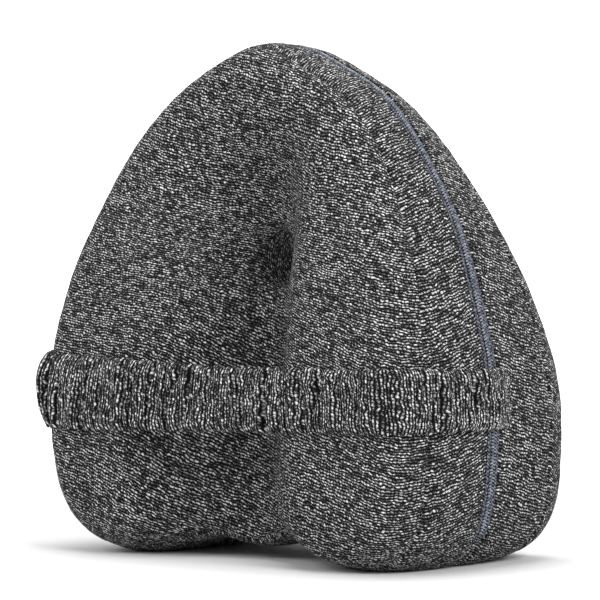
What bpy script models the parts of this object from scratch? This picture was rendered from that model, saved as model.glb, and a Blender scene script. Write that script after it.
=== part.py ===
"""Knee pillow: a filled, heart-shaped leg cushion standing on its two lobes.

The front face looks along -Y, the apex points up, and the floor is z = 0. Both faces
carry a deep leg groove with a vent hole through the thin middle. A coil zip runs in the
seam along the right side band, and a ruched elastic strap crosses the front.
"""

import bpy
import numpy as np

MM = 0.001

# Shift that puts the middle of the whole box at x = y = 0
PLACE = (0.4, -3.4, 0.0)

# Outline of the middle plane, seen from the front, about a centre above the floor
CENTRE_HEIGHT = 106.0
OUTLINE = (
    # degrees from straight up, radius on the right, radius on the left
    (0, 144, 144),
    (12, 136, 140),
    (25, 129.5, 134.5),
    (42, 119.5, 125),
    (60, 114, 118.5),
    (80, 113, 116),
    (100, 122, 121),
    (118, 135, 130),
    (135, 145, 138.5),
    (150, 122.5, 123.5),
    (165, 100, 101),
    (180, 101, 101),
)

# Half thickness at each height, before the groove is taken out
THICKNESS = (
    # height, front half, back half
    (-9, 61, 77),
    (46, 64, 77),
    (106, 60, 71),
    (176, 45, 46),
    (253, 33, 27),
)

# Leg groove
GROOVE_BACK_SHARE = 0.9
GROOVE = (
    # height, depth in the front face, half width
    (-9, 29, 70),
    (56, 40, 60),
    (116, 45, 57),
    (156, 39, 57),
    (186, 24, 57),
    (216, 4, 57),
    (253, 0, 57),
)

# Rounded edge from the middle plane round to a face
EDGE_POWER = 3.3
EDGE_REACH_SIDE = 31.0
EDGE_REACH_FRONT_BOTTOM = 39.0
EDGE_REACH_BACK_BOTTOM = 26.0

# Seams
PANEL_SEAM_AT = 0.68
PANEL_SEAM_DEPTH = 1.5
MIDDLE_SEAM_DEPTH = 0.8

# Vent hole
HOLE_HEIGHT = 145.0
HOLE_HALF_WIDTH = 9.0
HOLE_HALF_HEIGHT = 14.0
HOLE_LIP = 8.0

# Zip, from turn to turn along the outline, with the depth below the cover counted inwards
ZIP_START = -14.4
ZIP_END = 129.6
ZIP_LINE = (
    # turn, shift of the seam towards the back, half width of the zip there
    (-180, 0.0, 3.2),
    (-100, 0.0, 3.2),
    (-50, 1.0, 3.2),
    (-14, 2.3, 3.2),
    (14, 2.3, 3.2),
    (30, 1.4, 3.2),
    (44, 0.5, 3.2),
    (57, 0.4, 3.4),
    (70, 1.0, 4.1),
    (85, 1.2, 4.3),
    (100, 1.8, 4.3),
    (115, 2.0, 4.3),
    (132, 2.0, 4.2),
    (150, 1.0, 3.6),
    (180, 0.0, 3.2),
)
ZIP_CHANNEL_DEPTH = 1.7
ZIP_CHANNEL_FLOOR, ZIP_CHANNEL_LIP = 0.5, 2.2
TAPE_FROM = 2.2
TAPE_TOP, TAPE_UNDER = 0.4, 1.1
COIL_HALF_WIDTH = 1.9
COIL_TOP, COIL_UNDER = -0.3, 1.2

# Strap
STRAP_GAP = 0.9
STRAP_THICKNESS = 5.0
STRAP_END_DEPTH = 11.0
STRAP_PLEAT = 0.9
STRAP_LEFT_CROWN = 1.26
STRAP_EDGES = (
    # turn from straight ahead in degrees, lower edge, upper edge
    (-110, 60, 106),
    (-92, 60, 105),
    (-62, 61, 99),
    (-40, 61, 96),
    (0, 62, 93),
    (50, 63, 92),
    (85, 64, 92),
    (110, 65, 91),
)
STRAP_FOLDS = (
    # turn in degrees, depth of the fold
    (-59, 1.5),
    (-51, 1.3),
    (-35, 1.4),
    (-23, 1.2),
    (-8, 1.6),
    (5, 1.2),
    (19, 1.4),
    (33, 1.0),
    (48, 2.2),
    (71, 1.4),
    (88, 1.2),
)

# Mesh: points round the outline, rings by share of the half thickness, rings on a face
AROUND = 100
EDGE_SHARES = (0.18, 0.31, 0.44, 0.56, 0.655, 0.68, 0.705, 0.77, 0.85, 0.92, 0.97, 1.0)
FACE_RINGS = 7
STRAP_STATIONS = 150


def spline(knots, values, at, closed=False):
    """Smooth curve through the knots: a cubic spline, natural or closed on 360 degrees."""
    k, v = np.asarray(knots, float), np.asarray(values, float)
    n = len(k)
    gap = np.diff(k)
    rise = np.diff(v) / gap
    m = np.zeros((n, n))
    rhs = np.zeros(n)
    for i in range(1, n - 1):
        m[i, i - 1 : i + 2] = gap[i - 1], 2 * (gap[i - 1] + gap[i]), gap[i]
        rhs[i] = 6 * (rise[i] - rise[i - 1])
    if closed:
        m[0, 0], m[0, -1] = 1, -1
        m[-1, 0], m[-1, 1] = 2 * gap[0], gap[0]
        m[-1, -2], m[-1, -1] = gap[-1], 2 * gap[-1]
        rhs[-1] = 6 * (rise[0] - rise[-1])
    else:
        m[0, 0] = m[-1, -1] = 1
    bend = np.linalg.solve(m, rhs)
    at = np.clip(at, k[0], k[-1])
    i = np.clip(np.searchsorted(k, at) - 1, 0, n - 2)
    a, b, g = k[i + 1] - at, at - k[i], gap[i]
    low, high = v[i] / g - bend[i] * g / 6, v[i + 1] / g - bend[i + 1] * g / 6
    return (bend[i] * a**3 + bend[i + 1] * b**3) / (6 * g) + low * a + high * b


def outline(turn):
    """x and height on the middle plane's outline, turn in degrees, clockwise from the apex."""
    angle, right, left = np.array(OUTLINE, float).T
    knots = np.concatenate([-angle[::-1], angle[1:]])
    radii = np.concatenate([left[::-1], right[1:]])
    turn = (np.asarray(turn, float) + 180) % 360 - 180
    radius = spline(knots, radii, turn, closed=True)
    t = np.radians(turn)
    return radius * np.sin(t), CENTRE_HEIGHT + radius * np.cos(t)


def inward(turn):
    """Unit vector across the outline, pointing into the cushion."""
    (x0, z0), (x1, z1) = outline(turn - 0.05), outline(turn + 0.05)
    dx, dz = x1 - x0, z1 - z0
    length = np.hypot(dx, dz)
    return dz / length, -dx / length


def half_thickness(z, back):
    height, front, rear = np.array(THICKNESS, float).T
    return spline(height, rear if back else front, z)


def groove(x, z, back):
    height, depth, half_width = np.array(GROOVE, float).T
    share = GROOVE_BACK_SHARE if back else 1.0
    across = 0.5 + 0.5 * np.cos(np.pi * np.clip(x / spline(height, half_width, z), -1, 1))
    return share * np.maximum(spline(height, depth, z), 0) * across


def in_zip(turn):
    """1 along the zip, 0 where the middle seam is plain, with short ramps between."""
    turn = (np.asarray(turn, float) + 180) % 360 - 180
    return np.clip((turn - ZIP_START + 6) / 4, 0, 1) * np.clip((ZIP_END + 6 - turn) / 4, 0, 1)


def zip_line(turn):
    """Shift of the middle seam towards the back, and half the zip's width, at each turn."""
    at, shift, half = np.array(ZIP_LINE, float).T
    turn = (np.asarray(turn, float) + 180) % 360 - 180
    return spline(at, shift, turn), spline(at, half, turn)


def seam_dip(beside, share, turn):
    """How far the cover is drawn in at its seams, at a distance beside the zip's edge."""
    zipped = in_zip(turn)
    flat = MIDDLE_SEAM_DEPTH + (ZIP_CHANNEL_DEPTH - MIDDLE_SEAM_DEPTH) * zipped
    ramp = (ZIP_CHANNEL_LIP - beside) / (ZIP_CHANNEL_LIP - ZIP_CHANNEL_FLOOR)
    panel = np.clip(1 - abs(share - PANEL_SEAM_AT) / 0.025, 0, 1)
    return flat * np.clip(ramp, 0, 1) + PANEL_SEAM_DEPTH * panel


def half_rings(turn, back, seams=1.0):
    """Rings of one half, from beside the middle plane round the edge, over the face and
    down the lip of the hole. Each is an array of points (x, y, z) in mm."""
    t = np.radians(turn)
    ox, oz = outline(turn)
    nx, nz = inward(turn)
    wall_x = HOLE_HALF_WIDTH * np.sin(t)
    wall_z = HOLE_HEIGHT + HOLE_HALF_HEIGHT * np.cos(t)
    run = np.hypot(wall_x - ox, wall_z - oz)
    dx, dz = (wall_x - ox) / run, (wall_z - oz) / run
    bottom = EDGE_REACH_BACK_BOTTOM if back else EDGE_REACH_FRONT_BOTTOM
    reach = EDGE_REACH_SIDE + (bottom - EDGE_REACH_SIDE) * np.clip(nz, 0, 1) ** 1.5
    side = 1 if back else -1
    shift, half = zip_line(turn)

    def on_face(x, z, share):
        return share * (half_thickness(z, back) - groove(x, z, back) * share)

    rings = []
    for beside in (ZIP_CHANNEL_FLOOR, ZIP_CHANNEL_LIP):
        dip = seam_dip(beside, 0.0, turn) * seams
        y = shift + side * (half + beside)
        rings.append(np.stack([ox + nx * dip, y, oz + nz * dip], 1))
    for share in EDGE_SHARES:
        inset = reach * (1 - (1 - share**EDGE_POWER) ** (1 / EDGE_POWER))
        dip = seam_dip(99.0, share, turn) * seams
        x = ox + dx * inset + nx * dip
        z = oz + dz * inset + nz * dip
        y = side * on_face(x, z, share) + shift * np.clip((0.6 - share) / 0.42, 0, 1)
        rings.append(np.stack([x, y, z], 1))
    for k in range(1, FACE_RINGS + 1):
        s = k / FACE_RINGS
        along = reach + (run - HOLE_LIP - reach) * (1.25 * s - 0.25 * s * s)
        x, z = ox + dx * along, oz + dz * along
        rings.append(np.stack([x, side * on_face(x, z, 1.0), z], 1))
    for angle in np.radians((30, 60, 90)):
        along = run - HOLE_LIP * (1 - np.sin(angle))
        x, z = ox + dx * along, oz + dz * along
        drop = HOLE_LIP * (1 - np.cos(angle))
        rings.append(np.stack([x, side * (on_face(x, z, 1.0) - drop), z], 1))
    return rings


def middle_ring(turn, seams=1.0):
    ox, oz = outline(turn)
    nx, nz = inward(turn)
    dip = seam_dip(0.0, 0.0, turn) * seams
    return np.stack([ox + nx * dip, zip_line(turn)[0], oz + nz * dip], 1)


def grid_faces(rings, around, wrap_rings, wrap_around):
    """Quads of a grid of rings, numbered ring by ring."""
    i = np.arange(rings if wrap_rings else rings - 1)[:, None]
    j = np.arange(around if wrap_around else around - 1)[None, :]
    a = i * around + j
    b = i * around + (j + 1) % around
    c = ((i + 1) % rings) * around + (j + 1) % around
    d = ((i + 1) % rings) * around + j
    return np.stack([a, b, c, d], -1).reshape(-1, 4)


def make(name, points, faces, colour, roughness):
    """Mesh object from points in mm, with its faces turned outwards."""
    p = np.asarray(points, float)
    faces = [tuple(int(i) for i in f) for f in faces]
    volume = 0.0
    for f in faces:
        for k in range(1, len(f) - 1):
            volume += np.dot(p[f[0]], np.cross(p[f[k]], p[f[k + 1]]))
    if volume < 0:
        faces = [f[::-1] for f in faces]
    mesh = bpy.data.meshes.new(name)
    mesh.from_pydata([tuple(q) for q in (p + PLACE) * MM], [], faces)
    mesh.update()
    thing = bpy.data.objects.new(name, mesh)
    bpy.context.scene.collection.objects.link(thing)
    material = bpy.data.materials.new(name)
    material.use_nodes = True
    shader = material.node_tree.nodes["Principled BSDF"]
    shader.inputs["Base Color"].default_value = (*colour, 1.0)
    shader.inputs["Roughness"].default_value = roughness
    mesh.materials.append(material)
    return thing


def sweep(name, sections, colour, roughness):
    """Closed bar through the sections, an array of stations, points and coordinates."""
    stations, around = sections.shape[:2]
    faces = [tuple(f) for f in grid_faces(stations, around, False, True)]
    first = tuple(range(around))
    last = tuple((stations - 1) * around + k for k in range(around))
    return make(name, sections.reshape(-1, 3), faces + [first[::-1], last], colour, roughness)


def cushion():
    """The filled cover, flat on the floor under its two lobes."""
    turn = np.arange(AROUND) * 360.0 / AROUND - 180.0
    rings = [middle_ring(turn)] + half_rings(turn, False) + half_rings(turn, True)[::-1]
    points = np.concatenate(rings)
    points[:, 2] = np.maximum(points[:, 2], 0)
    faces = grid_faces(len(rings), AROUND, True, True)
    make("cushion", points, faces, (0.11, 0.11, 0.115), 0.95)


def zip_bar(name, edges, section, colour):
    """Bar along the zip between two edges, its section given as shares and depths."""
    step = 360.0 / AROUND
    turn = np.arange(round((ZIP_END - ZIP_START) / step) + 1) * step + ZIP_START
    ox, oz = outline(turn)
    nx, nz = inward(turn)
    shift, half = zip_line(turn)
    near, far = edges(half)
    share, depth = np.array(section, float).T
    y = (shift + near)[:, None] + (far - near)[:, None] * share
    x = ox[:, None] + nx[:, None] * depth
    z = oz[:, None] + nz[:, None] * depth
    sections = np.stack([x, y, z], -1)
    sweep(name, sections, colour, 0.7)


def zip_pieces():
    tape = ((0.0, TAPE_TOP), (1.0, TAPE_TOP), (1.0, TAPE_UNDER), (0.0, TAPE_UNDER))
    coil = (
        # share across, depth
        (0.225, COIL_TOP),
        (0.775, COIL_TOP),
        (1.0, COIL_TOP + 0.5),
        (1.0, COIL_UNDER),
        (0.0, COIL_UNDER),
        (0.0, COIL_TOP + 0.5),
    )
    blue, pale_blue = (0.09, 0.11, 0.16), (0.13, 0.16, 0.22)
    zip_bar("zip_tape_front", lambda half: (0 * half - TAPE_FROM, -half), tape, blue)
    zip_bar("zip_tape_back", lambda half: (0 * half + TAPE_FROM, half), tape, blue)
    coil_edges = -COIL_HALF_WIDTH, COIL_HALF_WIDTH
    zip_bar("zip_coil", lambda half: [0 * half + edge for edge in coil_edges], coil, pale_blue)


def strap_path(height, bearings):
    """Taut line round the front of the cushion at one height, and its outward direction."""
    edge = 2 + len(EDGE_SHARES)
    line = []
    for sign in (1, -1):
        turn = sign * np.linspace(20, 128, 80)
        front, back = half_rings(turn, False, 0.0)[:edge], half_rings(turn, True, 0.0)[:edge]
        chain = []
        for ring in back[::-1] + [middle_ring(turn, 0.0)] + front:
            order = np.argsort(ring[:, 2])
            x = np.interp(height, ring[order, 2], ring[order, 0])
            y = np.interp(height, ring[order, 2], ring[order, 1])
            if y < STRAP_END_DEPTH + 24:
                chain.append((x, y))
        line.append(chain)
    chain = np.array(line[0] + line[1][::-1])
    length = np.concatenate([[0], np.cumsum(np.hypot(*np.diff(chain, axis=0).T))])
    fine = np.linspace(0, length[-1], 1200)
    x, y = np.interp(fine, length, chain[:, 0]), np.interp(fine, length, chain[:, 1])
    width = 25
    pad = np.ones(width) / width
    x = np.convolve(np.pad(x, width // 2, mode="edge"), pad, "valid")
    y = np.convolve(np.pad(y, width // 2, mode="edge"), pad, "valid")
    bearing = np.degrees(np.arctan2(x, -y))
    px = np.interp(bearings, bearing[::-1], x[::-1])
    py = np.interp(bearings, bearing[::-1], y[::-1])
    tx, ty = np.gradient(px), np.gradient(py)
    size = np.hypot(tx, ty)
    return px, py, ty / size, -tx / size


def strap():
    """Ruched band: fine uneven gathers with a few deeper folds, thinner at its sewn ends."""
    end = 90 + np.degrees(np.arctan2(STRAP_END_DEPTH, 119))
    bearings = np.linspace(-end, end, STRAP_STATIONS)
    bearing_knots, lower, upper = np.array(STRAP_EDGES, float).T
    low, high = spline(bearing_knots, lower, bearings), spline(bearing_knots, upper, bearings)
    gather = np.sin(bearings * 1.9) + 0.7 * np.sin(bearings * 1.23 + 1.1)
    gather = gather + 0.5 * np.sin(bearings * 0.71 + 0.4)
    fold = np.zeros_like(bearings)
    for at, depth in STRAP_FOLDS:
        fold += depth * np.exp(-(((bearings - at) / 1.5) ** 2))
    ease = np.clip((end - abs(bearings)) / 10, 0, 1)
    ease = ease * ease * (3 - 2 * ease)
    thick = 1.6 + (STRAP_THICKNESS - 1.6) * ease + STRAP_PLEAT * 0.5 * gather * ease - fold * ease
    edge = 0.35 * gather * ease
    left = np.clip((-bearings - 52) / 16, 0, 1)
    thick = thick * (1 + 0.18 * left)
    section = (
        # place across the strap from -1 to 1, share of the thickness
        (-0.86, 0.0),
        (0.0, 0.0),
        (0.86, 0.0),
        (1.0, 0.45),
        (0.9, 0.85),
        (0.45, 1.0),
        (0.0, 0.97),
        (-0.45, 1.0),
        (-0.9, 0.85),
        (-1.0, 0.45),
    )
    levels = np.linspace(57, 109, 11)
    stack = np.array([np.stack(strap_path(z, bearings)) for z in levels])
    sections = []
    for across, share in section:
        z = 0.5 * (low + high) + across * (0.5 * (high - low) + edge)
        place = np.clip((z - levels[0]) / (levels[1] - levels[0]), 0, len(levels) - 1.001)
        i = place.astype(int)
        part = place - i
        j = np.arange(len(bearings))
        px, py, nx, ny = (stack[i, k, j] * (1 - part) + stack[i + 1, k, j] * part for k in range(4))
        crown = STRAP_LEFT_CROWN * max(1 - 0.8 * abs(across - 0.22) ** 2.2, 0.1)
        out = STRAP_GAP + share * thick * (1 + (crown - 1) * left)
        sections.append(np.stack([px + nx * out, py + ny * out, z], 1))
    sweep("strap", np.stack(sections, 1), (0.1, 0.1, 0.105), 0.95)


for old in list(bpy.data.objects):
    bpy.data.objects.remove(old, do_unlink=True)
cushion()
zip_pieces()
strap()
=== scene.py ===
"""Knee pillow: heathered charcoal knit cover over a heart-shaped foam, with a vent hole, a
coil zip in the side band and a ruched elastic strap. Lengths in the tables are in mm."""

import math

import bpy
import numpy as np
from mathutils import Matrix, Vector


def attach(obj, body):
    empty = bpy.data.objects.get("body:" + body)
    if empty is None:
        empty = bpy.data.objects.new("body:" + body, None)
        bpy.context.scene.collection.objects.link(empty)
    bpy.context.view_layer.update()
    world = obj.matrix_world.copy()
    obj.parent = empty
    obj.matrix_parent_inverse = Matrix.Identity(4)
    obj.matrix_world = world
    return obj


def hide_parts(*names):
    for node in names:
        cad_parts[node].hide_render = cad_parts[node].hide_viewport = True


MM = 0.001
PLACE = (0.4, -3.4, 0.0)

# ---------------------------------------------------------------- body of the pillow
CENTRE_HEIGHT = 106.0
OUTLINE = (
    # degrees from straight up, radius on the right, radius on the left
    (0, 144, 144),
    (12, 136, 140),
    (25, 129.5, 134.5),
    (42, 119.5, 125),
    (60, 114, 118.5),
    (80, 113, 116),
    (100, 122, 121),
    (118, 135, 130),
    (135, 145, 138.5),
    (150, 122.5, 123.5),
    (165, 100, 101),
    (180, 101, 101),
)
THICKNESS = (
    # height, front half, back half
    (-9, 61, 77),
    (46, 64, 77),
    (106, 60, 71),
    (176, 45, 46),
    (253, 33, 27),
)
GROOVE_BACK_SHARE = 0.9
GROOVE = (
    # height, depth in the front face, half width
    (-9, 29, 70),
    (56, 40, 60),
    (116, 45, 57),
    (156, 39, 57),
    (186, 24, 57),
    (216, 4, 57),
    (253, 0, 57),
)
EDGE_POWER = 3.3
EDGE_REACH_SIDE = 31.0
EDGE_REACH_FRONT_BOTTOM = 39.0
EDGE_REACH_BACK_BOTTOM = 26.0
PANEL_SEAM_AT = 0.68
PANEL_SEAM_DEPTH = 1.3
MIDDLE_SEAM_DEPTH = 0.8
ZIP_CHANNEL_DEPTH = 1.7
ZIP_CHANNEL_FLOOR, ZIP_CHANNEL_LIP = 0.3, 1.5
HOLE_HEIGHT = 145.0
HOLE_HALF_WIDTH = 9.0
HOLE_HALF_HEIGHT = 14.0
HOLE_LIP = 8.0
ZIP_START, ZIP_END = -14.4, 129.6
ZIP_LINE = (
    # turn, shift of the seam towards the back, half width of the zip there
    (-180, 0.0, 3.2),
    (-100, 0.0, 3.2),
    (-50, 1.0, 3.2),
    (-14, 2.3, 3.2),
    (14, 2.3, 3.2),
    (30, 1.4, 3.2),
    (44, 0.5, 3.2),
    (57, 0.4, 3.4),
    (70, 1.0, 4.1),
    (85, 1.2, 4.3),
    (100, 1.8, 4.3),
    (115, 2.0, 4.3),
    (132, 2.0, 4.2),
    (150, 1.0, 3.6),
    (180, 0.0, 3.2),
)

# ---------------------------------------------------------------- strap
STRAP_GAP = 0.9
STRAP_THICKNESS = 5.0
STRAP_END_DEPTH = 11.0
STRAP_LEFT_CROWN = 1.26
STRAP_EDGES = (
    # turn from straight ahead in degrees, lower edge, upper edge
    (-110, 60, 106),
    (-92, 60, 105),
    (-62, 61, 99),
    (-40, 61, 96),
    (0, 62, 93),
    (50, 63, 92),
    (85, 64, 92),
    (110, 65, 91),
)
STRAP_FOLDS = (
    # turn in degrees, depth, half width, slant, curve: the last three in mm across the strap
    (-59.0, 2.0, 1.3, 1.0, 1.5),
    (-51.0, 2.2, 1.5, 1.6, 2.0),
    (-35.0, 1.7, 1.0, 2.6, 1.2),
    (-27.0, 1.5, 0.9, 1.5, 1.0),
    (-16.0, 2.0, 1.0, 4.0, 2.0),
    (-6.0, 1.4, 0.9, 0.8, -1.0),
    (5.0, 1.5, 1.0, 0.5, 1.0),
    (19.0, 1.8, 1.1, 0.4, 0.8),
    (33.0, 1.3, 0.8, 0.6, 0.5),
    (48.0, 2.8, 1.5, 3.2, 1.2),
    (60.0, 1.2, 0.8, 0.4, 0.6),
    (71.0, 1.3, 0.8, 0.2, -0.6),
    (86.0, 2.2, 1.4, 1.0, -2.0),
)
FOLD_GAIN = 1.3
CREASE_PITCH, CREASE_SCATTER = 2.9, 1.2
CREASE_DEPTH = (0.4, 2.3)
CREASE_WIDTH = (0.6, 1.3)
ROLL_WAVES = ((7.5, 0.5), (11.0, 0.5), (19.0, 0.4))
RIPPLE_WAVES = ((3.1, 0.12), (4.3, 0.16), (6.1, 0.18))
UPPER_EDGE_WAVES = ((4.1, 0.35), (6.3, 0.4), (9.7, 0.45), (15.0, 0.35))
LOWER_EDGE_WAVES = ((3.9, 0.3), (6.9, 0.4), (10.3, 0.4), (17.0, 0.3))
STRAP_END_THICKNESS = 1.6
STRAP_STATIONS = 1500

# ---------------------------------------------------------------- knit
WIDE_WANDER_SCALE, NEAR_WANDER_SCALE = 150.0, 520.0
NEAR_WANDER_SHARE = 0.35
WANDER_GAIN = 3.0
ROW_START_SPREAD = 9.0
STITCH_SLANT = 0.35
# Row profile and stitch ends, shared by the bump height and the colour: where they darken the
# colour, that is painted shade.
ROW_SHARPNESS = 2.6
STITCH_END_HEIGHT_AND_SHADE = 0.25
OWN_SHARE, FUZZ_SHARE, FUZZ_SCALE = 0.40, 0.9, 2300.0
DARKEST_YARN = 0.72


def spline(knots, values, at, closed=False):
    """Smooth curve through the knots: a cubic spline, natural or closed on 360 degrees."""
    k, v = np.asarray(knots, float), np.asarray(values, float)
    n = len(k)
    gap = np.diff(k)
    rise = np.diff(v) / gap
    inner = np.arange(1, n - 1)
    m = np.zeros((n, n))
    rhs = np.zeros(n)
    m[inner, inner - 1] = gap[:-1]
    m[inner, inner] = 2 * (gap[:-1] + gap[1:])
    m[inner, inner + 1] = gap[1:]
    rhs[inner] = 6 * np.diff(rise)
    if closed:
        m[0, 0], m[0, -1] = 1, -1
        m[-1, 0], m[-1, 1] = 2 * gap[0], gap[0]
        m[-1, -2], m[-1, -1] = gap[-1], 2 * gap[-1]
        rhs[-1] = 6 * (rise[0] - rise[-1])
    else:
        m[0, 0] = m[-1, -1] = 1
    bend = np.linalg.solve(m, rhs)
    at = np.clip(at, k[0], k[-1])
    i = np.clip(np.searchsorted(k, at) - 1, 0, n - 2)
    a, b, g = k[i + 1] - at, at - k[i], gap[i]
    low, high = v[i] / g - bend[i] * g / 6, v[i + 1] / g - bend[i + 1] * g / 6
    return (bend[i] * a**3 + bend[i + 1] * b**3) / (6 * g) + low * a + high * b


def full_turn(turn):
    return (np.asarray(turn, float) + 180) % 360 - 180


def outline(turn):
    """Middle plane outline: centre plus radius(turn) along the turn, clockwise from the apex."""
    angle, right, left = np.array(OUTLINE, float).T
    knots = np.concatenate([-angle[::-1], angle[1:]])
    radii = np.concatenate([left[::-1], right[1:]])
    turn = full_turn(turn)
    radius = spline(knots, radii, turn, closed=True)
    t = np.radians(turn)
    return radius * np.sin(t), CENTRE_HEIGHT + radius * np.cos(t)


def inward(turn):
    """Unit vector across the outline, pointing into the cushion."""
    (x0, z0), (x1, z1) = outline(turn - 0.05), outline(turn + 0.05)
    dx, dz = x1 - x0, z1 - z0
    length = np.hypot(dx, dz)
    return dz / length, -dx / length


def half_thickness(z, back):
    height, front, rear = np.array(THICKNESS, float).T
    return spline(height, rear if back else front, z)


def groove(x, z, back):
    """Leg groove: depth(height) times half a cosine wave across the face."""
    height, depth, half_width = np.array(GROOVE, float).T
    share = GROOVE_BACK_SHARE if back else 1.0
    across = 0.5 + 0.5 * np.cos(np.pi * np.clip(x / spline(height, half_width, z), -1, 1))
    return share * np.maximum(spline(height, depth, z), 0) * across


def in_zip(turn):
    turn = full_turn(turn)
    return np.clip((turn - ZIP_START + 6) / 4, 0, 1) * np.clip((ZIP_END + 6 - turn) / 4, 0, 1)


def zip_line(turn):
    """Shift of the middle seam towards the back, and half the zip's width, at each turn."""
    at, shift, half = np.array(ZIP_LINE, float).T
    return spline(at, shift, full_turn(turn)), spline(at, half, full_turn(turn))


def seam_dip(beside, share, turn):
    """How far the cover is drawn in: a flat channel under the zip or middle seam, and a narrow
    notch in a shallow draw-in at the panel seams, uneven along them."""
    zipped = in_zip(turn)
    flat = MIDDLE_SEAM_DEPTH + (ZIP_CHANNEL_DEPTH - MIDDLE_SEAM_DEPTH) * zipped
    ramp = np.clip((ZIP_CHANNEL_LIP - beside) / (ZIP_CHANNEL_LIP - ZIP_CHANNEL_FLOOR), 0, 1)
    away = share - PANEL_SEAM_AT
    notch = np.exp(-((away / 0.010) ** 2))
    drawn = np.exp(-((away / 0.055) ** 2)) * (0.45 + 0.35 * waves(turn * 2.2, 41, SEAM_WAVES))
    return flat * ramp * ramp * (3 - 2 * ramp) + PANEL_SEAM_DEPTH * notch + drawn


def waves(s, seed, table):
    """Sum of sine waves, one for each length and height in the table, with fixed phases."""
    phases = np.random.default_rng(seed).uniform(0, 2 * np.pi, len(table))
    return sum(high * np.sin(2 * np.pi * s / long + f) for (long, high), f in zip(table, phases))


SEAM_WAVES = ((5.3, 0.45), (7.9, 0.6), (13.7, 0.5), (31.0, 0.5))
EDGE_SHARES = np.concatenate(
    [
        np.linspace(0.13, 0.62, 20),
        np.linspace(0.636, 0.724, 12),
        np.linspace(0.74, 0.90, 9),
        1 - 0.085 * (1 - np.linspace(0, 1, 12)) ** 1.7,
    ]
)
BESIDE_ZIP = np.array([0.0, 0.3, 0.55, 0.8, 1.1, 1.5, 2.1])
FACE_STEPS = 40
LIP_STEPS = 10
TUNNEL_STEPS = 6
AROUND = 430
CALM_STEPS = 8
LIP_ROWS_IN_TUNNEL = 2
TUNNEL_SHARE = 0.12  # length round the hole, as a share of the length round the outline
FLOOR_FADE = 8.0


def half_rings(turn, back, seams=1.0):
    """Rings of one half. Along each turn a straight line runs from the outline to the wall of
    the hole. The depth rises along it as a superellipse to the face, follows the face's
    thickness less the groove, and rolls over a quarter circle into the hole."""
    t = np.radians(turn)
    ox, oz = outline(turn)
    nx, nz = inward(turn)
    wall_x = HOLE_HALF_WIDTH * np.sin(t)
    wall_z = HOLE_HEIGHT + HOLE_HALF_HEIGHT * np.cos(t)
    run = np.hypot(wall_x - ox, wall_z - oz)
    dx, dz = (wall_x - ox) / run, (wall_z - oz) / run
    bottom = EDGE_REACH_BACK_BOTTOM if back else EDGE_REACH_FRONT_BOTTOM
    reach = EDGE_REACH_SIDE + (bottom - EDGE_REACH_SIDE) * np.clip(nz, 0, 1) ** 1.5
    side = 1 if back else -1
    shift, half = zip_line(turn)

    def on_face(x, z, share):
        return share * (half_thickness(z, back) - groove(x, z, back) * share)

    beside = BESIDE_ZIP[:, None]
    dip = seam_dip(beside, 0.0, turn) * seams
    near = np.stack([ox + nx * dip, shift + side * (half + beside), oz + nz * dip], -1)

    share = EDGE_SHARES[:, None]
    inset = reach * (1 - (1 - share**EDGE_POWER) ** (1 / EDGE_POWER))
    dip = seam_dip(99.0, share, turn) * seams
    x, z = ox + dx * inset + nx * dip, oz + dz * inset + nz * dip
    y = side * on_face(x, z, share) + shift * np.clip((0.6 - share) / 0.42, 0, 1)
    edge = np.stack([x, y, z], -1)

    s = (np.arange(1, FACE_STEPS + 1) / FACE_STEPS)[:, None]
    along = reach + (run - HOLE_LIP - reach) * (1.25 * s - 0.25 * s * s)
    x, z = ox + dx * along, oz + dz * along
    face = np.stack([x, side * on_face(x, z, 1.0), z], -1)

    roll = np.linspace(0, np.pi / 2, LIP_STEPS + 1)[1:, None]
    along = run - HOLE_LIP * (1 - np.sin(roll))
    x, z = ox + dx * along, oz + dz * along
    lip = np.stack([x, side * (on_face(x, z, 1.0) - HOLE_LIP * (1 - np.cos(roll))), z], -1)
    return np.concatenate([near, edge, face, lip])


def middle_ring(turn, seams=1.0):
    ox, oz = outline(turn)
    nx, nz = inward(turn)
    dip = seam_dip(0.0, 0.0, turn) * seams
    return np.stack([ox + nx * dip, zip_line(turn)[0], oz + nz * dip], 1)


def grid_quads(rows, columns, wrap_rows, wrap_columns):
    """Quads of a grid of points numbered row by row."""
    i = np.arange(rows if wrap_rows else rows - 1)[:, None]
    j = np.arange(columns if wrap_columns else columns - 1)[None, :]
    i2, j2 = (i + 1) % rows, (j + 1) % columns
    corners = [i * columns + j, i * columns + j2, i2 * columns + j2, i2 * columns + j]
    return np.stack(corners, -1).reshape(-1, 4)


def grid_normals(points, wrap_rows):
    """Unit normals of a grid closed along its columns, from the differences both ways."""
    if wrap_rows:
        down = np.roll(points, -1, 0) - np.roll(points, 1, 0)
    else:
        down = np.gradient(points, axis=0)
    over = np.roll(points, -1, 1) - np.roll(points, 1, 1)
    normal = np.cross(down, over)
    return normal / np.maximum(np.linalg.norm(normal, axis=-1, keepdims=True), 1e-9)


def mesh_piece(name, points, quads, material, uv=None, ends=()):
    """Smooth mesh object from points in mm and quads facing outwards, with one UV per corner."""
    mesh = bpy.data.meshes.new(name)
    faces = quads.tolist() + [list(f) for f in ends]
    mesh.from_pydata(((points.reshape(-1, 3) + PLACE) * MM).tolist(), [], faces)
    if uv is not None:
        layer = mesh.uv_layers.new(name="cloth")
        flat = np.zeros((len(mesh.loops), 2), np.float32)
        flat[: quads.size] = (uv.reshape(-1, 2) * MM).astype(np.float32)
        layer.data.foreach_set("uv", flat.ravel())
    mesh.polygons.foreach_set("use_smooth", np.ones(len(mesh.polygons), bool))
    mesh.update()
    thing = bpy.data.objects.new(name, mesh)
    bpy.context.scene.collection.objects.link(thing)
    mesh.materials.append(material)
    return thing


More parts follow.
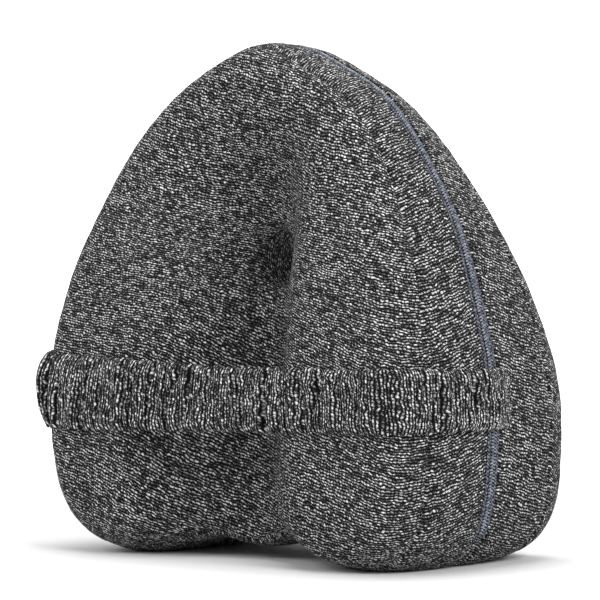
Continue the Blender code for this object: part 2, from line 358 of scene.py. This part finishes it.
# ---------------------------------------------------------------- materials
def new_material(name, roughness):
    material = bpy.data.materials.new(name)
    material.use_nodes = True
    shader = material.node_tree.nodes["Principled BSDF"]
    shader.inputs["Roughness"].default_value = roughness
    shader.inputs["Specular IOR Level"].default_value = 0.25
    return material, material.node_tree, shader


class Bench:
    """Short words for wiring one node tree. A value is a number or a (node, output) pair."""

    def __init__(self, tree):
        self.tree = tree

    def put(self, socket, value):
        if isinstance(value, tuple) and not isinstance(value[0], (int, float)):
            self.tree.links.new(value[0].outputs[value[1]], socket)
        else:
            socket.default_value = value

    def maths(self, operation, a, b=0.0):
        made = self.tree.nodes.new("ShaderNodeMath")
        made.operation = operation
        self.put(made.inputs[0], a)
        self.put(made.inputs[1], b)
        return made, 0

    def vector(self, operation, a, b=None, scale=None):
        made = self.tree.nodes.new("ShaderNodeVectorMath")
        made.operation = operation
        self.put(made.inputs[0], a)
        if b is not None:
            self.put(made.inputs[1], b)
        if scale is not None:
            self.put(made.inputs["Scale"], scale)
        return made, 0

    def noise(self, where, scale, detail=0.0, rough=0.5, dimensions="2D"):
        made = self.tree.nodes.new("ShaderNodeTexNoise")
        made.noise_dimensions = dimensions
        self.put(made.inputs["Vector"], where)
        for name, value in (("Scale", scale), ("Detail", detail), ("Roughness", rough)):
            made.inputs[name].default_value = value
        return made

    def white_noise(self, x, y):
        made = self.tree.nodes.new("ShaderNodeTexWhiteNoise")
        made.noise_dimensions = "2D"
        self.put(made.inputs["Vector"], self.join(x, y))
        return made, 0

    def hump(self, share):
        """4 s (1 - s): nothing at both ends of a stitch or row, 1 in the middle."""
        rest = self.maths("SUBTRACT", 1.0, share)
        return self.maths("MULTIPLY", self.maths("MULTIPLY", share, 4.0), rest)

    def join(self, x, y):
        made = self.tree.nodes.new("ShaderNodeCombineXYZ")
        self.put(made.inputs[0], x)
        self.put(made.inputs[1], y)
        return made, 0

    def split(self, vector):
        made = self.tree.nodes.new("ShaderNodeSeparateXYZ")
        self.put(made.inputs[0], vector)
        return (made, 0), (made, 1)

    def smooth_step(self, value, low, high):
        made = self.tree.nodes.new("ShaderNodeMapRange")
        made.interpolation_type = "SMOOTHSTEP"
        self.put(made.inputs["Value"], value)
        self.put(made.inputs["From Min"], low)
        self.put(made.inputs["From Max"], high)
        return made, 0

    def ramp(self, value, stops):
        made = self.tree.nodes.new("ShaderNodeValToRGB")
        band = made.color_ramp
        while len(band.elements) < len(stops):
            band.elements.new(0.5)
        for element, (place, colour) in zip(band.elements, stops):
            element.position = place
            element.color = (*colour, 1.0)
        self.put(made.inputs["Fac"], value)
        return made, 0

    def bump(self, height, strength, distance, shader):
        made = self.tree.nodes.new("ShaderNodeBump")
        made.inputs["Strength"].default_value = strength
        made.inputs["Distance"].default_value = distance
        self.put(made.inputs["Height"], height)
        self.tree.links.new(made.outputs[0], shader.inputs["Normal"])


def heather_knit_group():
    """Heather knit. Rows cross the v coordinate and stitches follow one another along u, each
    row at its own start. Every stitch has a lightness of its own, drawn from white noise and
    broken up by a fine noise. Its colour is also darkened towards the row gaps and the stitch
    ends by the same profile that gives its bump height: painted shade in the knit's hollows,
    which leaves each stitch bright along its middle. Two slower noises make the rows wander."""
    group = bpy.data.node_groups.new("heather_knit", "ShaderNodeTree")
    face = group.interface
    face.new_socket("Cloth", in_out="INPUT", socket_type="NodeSocketVector")
    for name, value in (
        ("Row pitch", 0.00145),
        ("Stitch length", 0.002),
        ("Wander", 0.0007),
        ("Lightness", 0.5),
    ):
        face.new_socket(name, in_out="INPUT", socket_type="NodeSocketFloat").default_value = value
    face.new_socket("Tone", in_out="OUTPUT", socket_type="NodeSocketFloat")
    face.new_socket("Height", in_out="OUTPUT", socket_type="NodeSocketFloat")
    start, end = group.nodes.new("NodeGroupInput"), group.nodes.new("NodeGroupOutput")
    bench = Bench(group)
    cloth = start, "Cloth"

    middle = (0.5, 0.5, 0.5)
    wide = (bench.noise(cloth, WIDE_WANDER_SCALE, 1.0), "Color")
    near = (bench.noise(cloth, NEAR_WANDER_SCALE), "Color")
    near = bench.vector("SCALE", bench.vector("SUBTRACT", near, middle), scale=NEAR_WANDER_SHARE)
    drift = bench.vector("ADD", bench.vector("SUBTRACT", wide, middle), near)
    drift = bench.vector("SCALE", drift, scale=(start, "Wander"))
    drift = bench.vector("SCALE", drift, scale=WANDER_GAIN)
    u, v = bench.split(bench.vector("ADD", cloth, drift))

    row_at = bench.maths("DIVIDE", v, (start, "Row pitch"))
    row = bench.maths("FLOOR", row_at)
    inside = bench.maths("FRACT", row_at)
    first = bench.maths("MULTIPLY", bench.white_noise(row, 0.0), ROW_START_SPREAD)
    along = bench.maths("ADD", bench.maths("DIVIDE", u, (start, "Stitch length")), first)
    along = bench.maths("ADD", along, bench.maths("MULTIPLY", inside, STITCH_SLANT))
    stitch = bench.maths("FLOOR", along)
    own = bench.white_noise(stitch, row)
    section = bench.maths("POWER", bench.hump(inside), ROW_SHARPNESS)
    swell = bench.maths("MULTIPLY", bench.hump(bench.maths("FRACT", along)), 1 - STITCH_END_HEIGHT_AND_SHADE)
    body = bench.maths("ADD", STITCH_END_HEIGHT_AND_SHADE, swell)

    own = bench.maths("MULTIPLY", own, OWN_SHARE)
    fuzz = bench.maths("MULTIPLY", (bench.noise(cloth, FUZZ_SCALE, 1.0), "Fac"), FUZZ_SHARE)
    lightness = bench.maths("ADD", own, fuzz)
    low = bench.maths("SUBTRACT", DARKEST_YARN, (start, "Lightness"))
    yarn = bench.smooth_step(lightness, low, bench.maths("ADD", low, 1.0))
    # The tone is the yarn's lightness times the stitch's height profile: painted shade in the row
    # gaps and at the stitch ends.
    shape = bench.maths("MULTIPLY", section, body)
    bench.put(end.inputs["Tone"], bench.maths("MULTIPLY", yarn, shape))
    bench.put(end.inputs["Height"], shape)
    return group


def knit_material(name, knit, lightness, **values):
    """Near-black in the row gaps and at the stitch ends, where shade is painted, and in the darkest
    yarns, up to pale grey stitches, dull.
    """
    material, tree, shader = new_material(name, 0.95)
    bench = Bench(tree)
    uv = tree.nodes.new("ShaderNodeUVMap")
    uv.uv_map = "cloth"
    cloth = tree.nodes.new("ShaderNodeGroup")
    cloth.node_tree = knit
    bench.put(cloth.inputs["Cloth"], (uv, "UV"))
    cloth.inputs["Lightness"].default_value = lightness
    for socket, value in values.items():
        cloth.inputs[socket.replace("_", " ")].default_value = value
    # The low stops show in the row gaps and at the stitch ends, where the tone carries painted
    # shade, and in the darkest yarns.
    stops = (
        (0.0, (0.003, 0.003, 0.0032)),
        (0.10, (0.010, 0.010, 0.0105)),
        (0.32, (0.20, 0.20, 0.20)),
        (0.66, (0.90, 0.90, 0.89)),
    )
    bench.put(shader.inputs["Base Color"], bench.ramp((cloth, "Tone"), stops))
    bench.bump((cloth, "Height"), 0.45, 0.0005, shader)
    shader.inputs["Specular IOR Level"].default_value = 0.12
    return material


def tape_material():
    """Dark slate-blue woven tape: fine crossed ribs of lighter yarn, from sine waves of the piece's
    own UV, broken up by noise."""
    material, tree, shader = new_material("zip_tape_blue", 0.8)
    bench = Bench(tree)
    uv = tree.nodes.new("ShaderNodeUVMap")
    uv.uv_map = "cloth"
    u, v = bench.split((uv, "UV"))
    lean = bench.maths("ADD", v, bench.maths("MULTIPLY", u, 0.6))
    rib = bench.maths("SINE", bench.maths("MULTIPLY", lean, 2 * math.pi / 0.0016))
    wale = bench.maths("SINE", bench.maths("MULTIPLY", u, 2 * math.pi / 0.0013))
    weave = bench.maths("MULTIPLY", rib, wale)
    grain = bench.noise((uv, "UV"), 900.0, 1.0)
    weave = bench.maths("ADD", bench.maths("MULTIPLY", weave, 0.22), (grain, "Fac"))
    stops = (
        (0.38, (0.008, 0.009, 0.012)),
        (0.52, (0.045, 0.05, 0.066)),
        (0.7, (0.20, 0.22, 0.27)),
    )
    bench.put(shader.inputs["Base Color"], bench.ramp(weave, stops))
    bench.bump(weave, 0.5, 0.0003, shader)
    return material


def coil_material():
    """Nylon coil: slate blue, a little glossier than the tape."""
    material, tree, shader = new_material("zip_coil_blue", 0.38)
    bench = Bench(tree)
    where = tree.nodes.new("ShaderNodeTexCoord")
    grain = bench.noise((where, "Object"), 420.0, 1.0, dimensions="3D")
    stops = ((0.35, (0.075, 0.087, 0.108)), (0.65, (0.30, 0.33, 0.38)))
    bench.put(shader.inputs["Base Color"], bench.ramp((grain, "Fac"), stops))
    return material


# ---------------------------------------------------------------- pieces
def turned(g, h, degrees, shift):
    """Cloth coordinates turned by some degrees and moved off the other cut parts."""
    a = math.radians(degrees)
    u, v = g * math.cos(a) - h * math.sin(a), g * math.sin(a) + h * math.cos(a)
    return np.stack([u, v], -1) + shift


def unevenness(p):
    """Hand-filled look: three crossed sine waves of 70 to 80 mm, a few tenths high, and
    slighter ones of about 20 mm."""
    x, y, z = p[..., 0], p[..., 1], p[..., 2]
    slow = np.sin(x / 13 + 1.1 * np.sin(z / 17)) + np.sin(z / 11 + y / 19 + 0.7)
    slow = slow + np.sin((x - z) / 16)
    quick = np.sin(x / 3.4 + 1.5 * np.sin(z / 7)) * np.sin(z / 2.9 + y / 4.1 + 0.9 * np.sin(x / 9))
    return 0.32 * slow + 0.16 * quick


def unrolled(half):
    """Cloth coordinates of a face: x and z of each ring, pushed outwards along its turn by the
    length that the bends and slopes add from the hole outwards."""
    flat = half[..., [0, 2]]
    step, level = np.diff(half, axis=0), np.diff(flat, axis=0)
    added = np.linalg.norm(step, axis=-1) - np.linalg.norm(level, axis=-1)
    extra = np.concatenate([np.cumsum(added[::-1], 0)[::-1], np.zeros((1, half.shape[1]))])
    out = flat[len(BESIDE_ZIP) + 5] - flat[-1]
    out = out / np.linalg.norm(out, axis=-1, keepdims=True)
    return flat + out * extra[..., None]


def cushion_piece(material):
    """Filled cover on a closed grid of rings, softened by the unevenness along its normals.
    Each of its cut parts has its own cloth coordinates, so the rows of the knit run the way
    that part was cut: two gusset bands, two faces and the tunnel through the hole."""
    around = AROUND
    turn = np.arange(around) * 360.0 / around - 180.0
    front, back = half_rings(turn, False), half_rings(turn, True)
    share = np.linspace(0, 1, TUNNEL_STEPS + 2)[1:-1, None, None]
    tunnel = front[-1] * (1 - share) + back[-1] * share
    rings = np.concatenate([middle_ring(turn)[None], front, tunnel, back[::-1]])
    rows = len(rings)
    zip_rows = len(BESIDE_ZIP) + 1
    calm = np.ones(rows)
    calm[:zip_rows] = calm[rows - zip_rows + 1 :] = 0
    ramp = np.linspace(0, 1, CALM_STEPS + 2)[1:-1]
    calm[zip_rows : zip_rows + CALM_STEPS] = ramp
    calm[rows - zip_rows - CALM_STEPS + 1 : rows - zip_rows + 1] = ramp[::-1]
    lifted = np.clip(rings[..., 2] / FLOOR_FADE, 0, 1)
    normal = grid_normals(rings, True)
    points = rings - normal * (unevenness(rings) * calm[:, None] * lifted)[..., None]
    points[..., 2] = np.maximum(points[..., 2], 0)

    quads = grid_quads(rows, around, True, True)
    row, column = quads[:, 0] // around, quads % around
    ox, oz = outline(np.append(turn, 180.0))
    arc = np.concatenate([[0], np.cumsum(np.hypot(np.diff(ox), np.diff(oz)))])
    last = (quads[:, :1] % around == around - 1) & (column == 0)
    along = np.where(last, arc[-1], arc[column])
    y = rings[..., 1].ravel()[quads]
    face_end = len(front) - LIP_ROWS_IN_TUNNEL
    step = np.linalg.norm(np.diff(rings, axis=0), axis=-1)
    inwards = np.concatenate([np.zeros((1, around)), np.cumsum(step, 0)])
    inwards = (inwards - inwards[face_end]).ravel()[quads]
    blank = np.zeros((1, around, 2))
    flat = np.concatenate([blank, unrolled(front), tunnel[..., [0, 2]], unrolled(back)[::-1]])
    g, h = (flat[..., k].ravel()[quads] for k in (0, 1))
    seam_row = zip_rows + int(np.argmin(abs(EDGE_SHARES - PANEL_SEAM_AT)))
    parts = (
        # first row, cloth coordinates: front band, front face, tunnel, back face, back band
        (0, turned(y, -along, -18.0, 900.0)),
        (seam_row, turned(g, h, 15.0, 0.0)),
        (face_end, turned(along * TUNNEL_SHARE, inwards, 0.0, 4800.0)),
        (rows - face_end, turned(g, h, -15.0, 3600.0)),
        (rows - seam_row, turned(y, -along, 15.0, 2200.0)),
    )
    uv = parts[0][1]
    for first, there in parts[1:]:
        uv = np.where((row >= first)[:, None, None], there, uv)
    return mesh_piece("cover", points, quads[:, ::-1], material, uv[:, ::-1])


def strap_lines(heights, bearings):
    """Taut line round the front of the cushion at each height: the body's outline there on
    the sides, a straight run over the groove, and the outward direction along it."""
    keep = len(BESIDE_ZIP) + len(EDGE_SHARES)
    sides = []
    for sign in (1, -1):
        turn = sign * np.linspace(20, 128, 160)
        front, back = half_rings(turn, False, 0.0)[:keep], half_rings(turn, True, 0.0)[:keep]
        rings = np.concatenate([back[::-1], middle_ring(turn, 0.0)[None], front])
        order = rings[..., 2].argsort(axis=1)
        sides.append(np.take_along_axis(rings, order[..., None], axis=1))
    lines = []
    for height in heights:
        chains = []
        for rings in sides:
            cut = [[np.interp(height, r[:, 2], r[:, k]) for k in (0, 1)] for r in rings]
            chain = np.array(cut)
            chains.append(chain[chain[:, 1] < STRAP_END_DEPTH + 24])
        chain = np.concatenate([chains[0], chains[1][::-1]])
        length = np.concatenate([[0], np.cumsum(np.hypot(*np.diff(chain, axis=0).T))])
        fine = np.linspace(0, length[-1], 2400)
        x, y = (np.interp(fine, length, chain[:, k]) for k in (0, 1))
        pad = np.ones(51) / 51
        x, y = (np.convolve(np.pad(q, 25, mode="edge"), pad, "valid") for q in (x, y))
        bearing = np.degrees(np.arctan2(x, -y))
        px, py = (np.interp(bearings, bearing[::-1], q[::-1]) for q in (x, y))
        tx, ty = np.gradient(px), np.gradient(py)
        size = np.hypot(tx, ty)
        lines.append(np.stack([px, py, ty / size, -tx / size]))
    return np.array(lines)


def gathers(s, a, at_fold):
    """Ruching over length s and place a across the strap: soft rolls between many short sharp
    creases, each |d| fall-off across its own slanted, curved line and faded at its ends."""
    high = waves(s + 1.5 * a, 11, ROLL_WAVES) + waves(s - 1.0 * a, 12, RIPPLE_WAVES)
    rng = np.random.default_rng(7)
    place = np.arange(-4.0, s.max() + 4, CREASE_PITCH)
    place = place + rng.uniform(-CREASE_SCATTER, CREASE_SCATTER, place.shape)
    for centre in place:
        slant, curve = rng.normal(1.0, 1.4), rng.normal(0.4, 1.0)
        deep, narrow = rng.uniform(*CREASE_DEPTH), rng.uniform(*CREASE_WIDTH)
        middle, reach = rng.uniform(-0.8, 0.8), rng.uniform(0.55, 1.3)
        off = abs(s - (centre + slant * a + curve * a * a)) / narrow
        high = high - deep * np.exp(-off) * np.exp(-(((a - middle) / reach) ** 4))
    for (_, deep, narrow, slant, curve), centre in zip(STRAP_FOLDS, at_fold):
        off = abs(s - (centre + slant * a + curve * a * a)) / narrow
        high = high - FOLD_GAIN * deep * np.exp(-(off**1.3))
    return high


def strap_piece(material):
    """Ruched band. Its section is a flat back and a rounded front, |a|^6 in the middle and a
    round crown at the left end; the gathers lift and cut the front, and pull the edges."""
    stations = STRAP_STATIONS
    end = 90 + np.degrees(np.arctan2(STRAP_END_DEPTH, 119))
    knots, lower, upper = np.array(STRAP_EDGES, float).T
    levels = np.linspace(57, 109, 14)
    coarse = np.linspace(-end, end, 600)
    mid = strap_lines(levels[6:7], coarse)[0]
    length = np.concatenate([[0], np.cumsum(np.hypot(np.diff(mid[0]), np.diff(mid[1])))])
    s = np.linspace(0, length[-1], stations)
    bearings = np.interp(s, length, coarse)
    stack = strap_lines(levels, bearings)
    low, high = spline(knots, lower, bearings), spline(knots, upper, bearings)
    ease = np.clip((end - abs(bearings)) / 10, 0, 1)
    ease = ease * ease * (3 - 2 * ease)
    left = np.clip((-bearings - 52) / 16, 0, 1)[:, None]

    t = np.linspace(-1, 1, 34)
    outer = np.sin(np.pi / 2 * t)
    inner = np.linspace(0.94, -0.94, 9)
    across = np.concatenate([outer, inner])[None, :]
    front = np.concatenate([np.ones(len(outer)), np.zeros(len(inner))])[None, :]
    dome = 0.22 + 0.78 * (1 - abs(across) ** 5) ** 0.5
    at_fold = np.interp([fold[0] for fold in STRAP_FOLDS], bearings, s)
    ruche = gathers(s[:, None], across, at_fold)
    edge = (waves(s, 31, UPPER_EDGE_WAVES) * ease)[:, None]
    edge_low = (waves(s, 32, LOWER_EDGE_WAVES) * ease)[:, None]
    pull = 0.5 * edge * (1 + across) + 0.5 * edge_low * (1 - across)
    z = (0.5 * (low + high))[:, None] + across * (0.5 * (high - low)[:, None] + 0.55 * pull)
    thick = STRAP_END_THICKNESS + (STRAP_THICKNESS - STRAP_END_THICKNESS) * ease
    thick = thick[:, None] * (1 + 0.18 * left)
    crown = STRAP_LEFT_CROWN * np.maximum(1 - 0.8 * abs(across - 0.22) ** 2.2, 0.1)
    lift = thick * dome * (1 + (crown - 1) * left) + ruche * ease[:, None] * (0.45 + 0.55 * dome)
    out = STRAP_GAP + front * np.maximum(lift, 0.35)

    place = np.clip((z - levels[0]) / (levels[1] - levels[0]), 0, len(levels) - 1.001)
    i = place.astype(int)
    part = place - i
    j = np.broadcast_to(np.arange(stations)[:, None], i.shape)
    px, py, nx, ny = (stack[i, k, j] * (1 - part) + stack[i + 1, k, j] * part for k in range(4))
    points = np.stack([px + nx * out, py + ny * out, z], -1)
    count = across.shape[1]
    quads = grid_quads(stations, count, False, True)
    g = np.append(np.cumsum(np.append(0, np.diff(across[0]) * 16)), 40.0)
    wrap = (quads[:, :1] % count == count - 1) & (quads % count == 0)
    u = np.where(wrap, g[-1], g[quads % count])
    v = s[quads // count] * 0.8
    uv = np.stack([u, v], -1) + 5200.0
    first, last = tuple(range(count)), tuple((stations - 1) * count + k for k in range(count))
    turn_over = quads[:, ::-1]
    return mesh_piece("strap_ruched", points, turn_over, material, uv[:, ::-1], (first, last[::-1]))


def tape_piece(name, side, material):
    """Narrow tape beside the coil: a thin rounded strip swept along the outline, its outer edge
    following the zip's width."""
    turn = np.linspace(ZIP_START, ZIP_END, 360)
    ox, oz = outline(turn)
    nx, nz = inward(turn)
    shift, half = zip_line(turn)
    share = np.array([0.0, 0.08, 0.92, 1.0, 1.0, 0.92, 0.08, 0.0])
    depth = np.array([0.52, 0.4, 0.4, 0.52, 0.98, 1.1, 1.1, 0.98])
    y = shift[:, None] + side * (2.2 + (half - 2.2)[:, None] * share)
    x = ox[:, None] + nx[:, None] * depth
    z = oz[:, None] + nz[:, None] * depth
    points = np.stack([x, y, z], -1)
    count = len(share)
    quads = grid_quads(len(turn), count, False, True)
    s = np.concatenate([[0], np.cumsum(np.hypot(np.diff(ox), np.diff(oz)))])
    g = abs(y - shift[:, None])
    uv = np.stack([g.ravel()[quads] * side, s[quads // count]], -1)
    first, last = tuple(range(count)), tuple((len(turn) - 1) * count + k for k in range(count))
    if side > 0:
        return mesh_piece(name, points, quads, material, uv, (first[::-1], last))
    return mesh_piece(name, points, quads[:, ::-1], material, uv[:, ::-1], (first, last[::-1]))


def coil_piece(material):
    """Chain of the closed zip: two rows of small slanted ellipsoids that interlock along the
    outline, each row leaning its own way, over a thin web that joins them."""
    pitch = 1.5
    fine = np.linspace(ZIP_START, ZIP_END, 4000)
    ox, oz = outline(fine)
    length = np.concatenate([[0], np.cumsum(np.hypot(np.diff(ox), np.diff(oz)))])
    count = int(length[-1] / pitch * 2) - 1
    place = (np.arange(count) + 1) * 0.5 * pitch
    turn = np.interp(place, length, fine)
    cx, cz = outline(turn)
    nx, nz = inward(turn)
    shift = zip_line(turn)[0]
    row = np.where(np.arange(count) % 2, 1.0, -1.0)
    u, v = np.meshgrid(np.linspace(0, np.pi, 7)[1:-1], np.arange(8) / 8 * 2 * np.pi, indexing="ij")
    across = np.concatenate([[1.05], 1.05 * np.cos(u.ravel()), [-1.05]])
    up = np.concatenate([[0], 0.68 * (np.sin(u) * np.sin(v)).ravel(), [0]])
    run = np.concatenate([[0], 0.46 * (np.sin(u) * np.cos(v)).ravel(), [0]])
    y = shift[:, None] + row[:, None] * 0.8 + across
    travel = run + 0.38 * across * row[:, None]
    lift = 0.38 - up
    x = cx[:, None] + nx[:, None] * lift - nz[:, None] * travel
    z = cz[:, None] + nz[:, None] * lift + nx[:, None] * travel
    points = np.stack([x, y, z], -1).reshape(-1, 3)
    belt = grid_quads(5, 8, False, True) + 1
    around = np.arange(8)
    fan = [[0, 1 + (k + 1) % 8, 1 + k] for k in around]
    fan += [[41, 33 + k, 33 + (k + 1) % 8] for k in around]
    each = (np.arange(count) * 42)[:, None, None]
    quads = (belt[None] + each).reshape(-1, 4)
    tris = (np.array(fan)[None] + each).reshape(-1, 3)
    return mesh_piece("zip_teeth", points, quads, material, None, tris.tolist())


# ---------------------------------------------------------------- room, light and camera
VIEW_TURN = math.radians(40.5)
LAMPS = (
    # name, turn from the front in degrees, height, distance, size, watts
    ("key", 72, 0.95, 1.5, 0.8, 18),
    ("fill", -15, 1.1, 1.5, 1.2, 10),
    ("top", 180, 2.2, 0.1, 1.6, 32),
)
BACKDROP_LAMP = ("backdrop", 220.5, 1.6, 0.9, 2.0, 160)


def stage_piece():
    """Pale floor that curves up into a backdrop far behind the pillow."""
    turns = np.linspace(0, np.pi / 2, 24)
    depth = np.concatenate([[-4.0], 2.6 + 1.4 * np.sin(turns), [4.0]])
    rise = np.concatenate([[0.0], 1.4 - 1.4 * np.cos(turns), [4.5]])
    across = np.array([-6.0, 6.0])
    x = across[None, :] * math.cos(VIEW_TURN) - depth[:, None] * math.sin(VIEW_TURN)
    y = across[None, :] * math.sin(VIEW_TURN) + depth[:, None] * math.cos(VIEW_TURN)
    z = np.broadcast_to(rise[:, None], x.shape) - 0.0002
    material, _, shader = new_material("pale_floor", 0.9)
    shader.inputs["Base Color"].default_value = (0.8, 0.8, 0.8, 1)
    points = np.stack([x, y, z], -1) / MM - PLACE
    quads = grid_quads(len(depth), 2, False, False)[:, ::-1]
    mesh_piece("floor_sweep", points, quads, material)


def lamp(name, turn, height, distance, size, watts):
    """Round soft light at a turn from the front and a height, aimed at the pillow's middle."""
    a = math.radians(turn)
    place = Vector((math.sin(a) * distance, -math.cos(a) * distance, height))
    data = bpy.data.lights.new(name, "AREA")
    data.shape = "DISK"
    data.size = size
    data.energy = watts
    thing = bpy.data.objects.new(name, data)
    thing.location = place
    thing.rotation_euler = (Vector((0, 0, 0.12)) - place).to_track_quat("-Z", "Y").to_euler()
    bpy.context.scene.collection.objects.link(thing)
    return thing


def light_and_camera():
    world = bpy.data.worlds.new("studio")
    world.use_nodes = True
    world.node_tree.nodes["Background"].inputs["Color"].default_value = (1, 1, 1, 1)
    world.node_tree.nodes["Background"].inputs["Strength"].default_value = 0.55
    bpy.context.scene.world = world
    for made in LAMPS:
        lamp(*made)
    backdrop = lamp(*BACKDROP_LAMP)
    backdrop.rotation_euler = (math.radians(80), 0, VIEW_TURN)

    right = Vector((math.cos(VIEW_TURN), math.sin(VIEW_TURN), 0))
    back = Vector((math.sin(VIEW_TURN), -math.cos(VIEW_TURN), 0))
    centre = Vector((0.0003, -0.0034, 0.106))
    eye = centre + back * 1.124
    aim = centre + right * 0.0045 + Vector((0, 0, 0.0185))
    data = bpy.data.cameras.new("photo_camera")
    data.sensor_width = 36.0
    data.lens = 137.6
    camera = bpy.data.objects.new("photo_camera", data)
    camera.location = eye
    camera.rotation_euler = (aim - eye).to_track_quat("-Z", "Y").to_euler()
    bpy.context.scene.collection.objects.link(camera)
    bpy.context.scene.camera = camera
    bpy.context.scene.view_settings.view_transform = "Standard"


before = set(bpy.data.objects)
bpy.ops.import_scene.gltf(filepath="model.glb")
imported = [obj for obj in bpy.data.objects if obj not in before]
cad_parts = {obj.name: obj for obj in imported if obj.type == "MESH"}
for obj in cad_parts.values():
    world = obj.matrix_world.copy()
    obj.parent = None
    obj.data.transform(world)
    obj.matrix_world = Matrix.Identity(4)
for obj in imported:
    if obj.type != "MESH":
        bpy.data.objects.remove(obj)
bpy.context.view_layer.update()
knit = heather_knit_group()
cover_cloth = knit_material("charcoal_heather", knit, 0.49)
strap_cloth = knit_material(
    "charcoal_heather_ruched", knit, 0.50, Row_pitch=0.0011, Stitch_length=0.0018, Wander=0.0005
)
tape = tape_material()
made = (
    (cushion_piece(cover_cloth), "cushion", "cover"),
    (strap_piece(strap_cloth), "strap", "strap"),
    (tape_piece("tape_front", -1, tape), "zip_tape_front", "zip_tape"),
    (tape_piece("tape_back", 1, tape), "zip_tape_back", "zip_tape"),
    (coil_piece(coil_material()), "zip_coil", "zip_coil"),
)
for piece, stands_for, slot in made:
    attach(piece, "root")
    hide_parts(stands_for)
stage_piece()
light_and_camera()
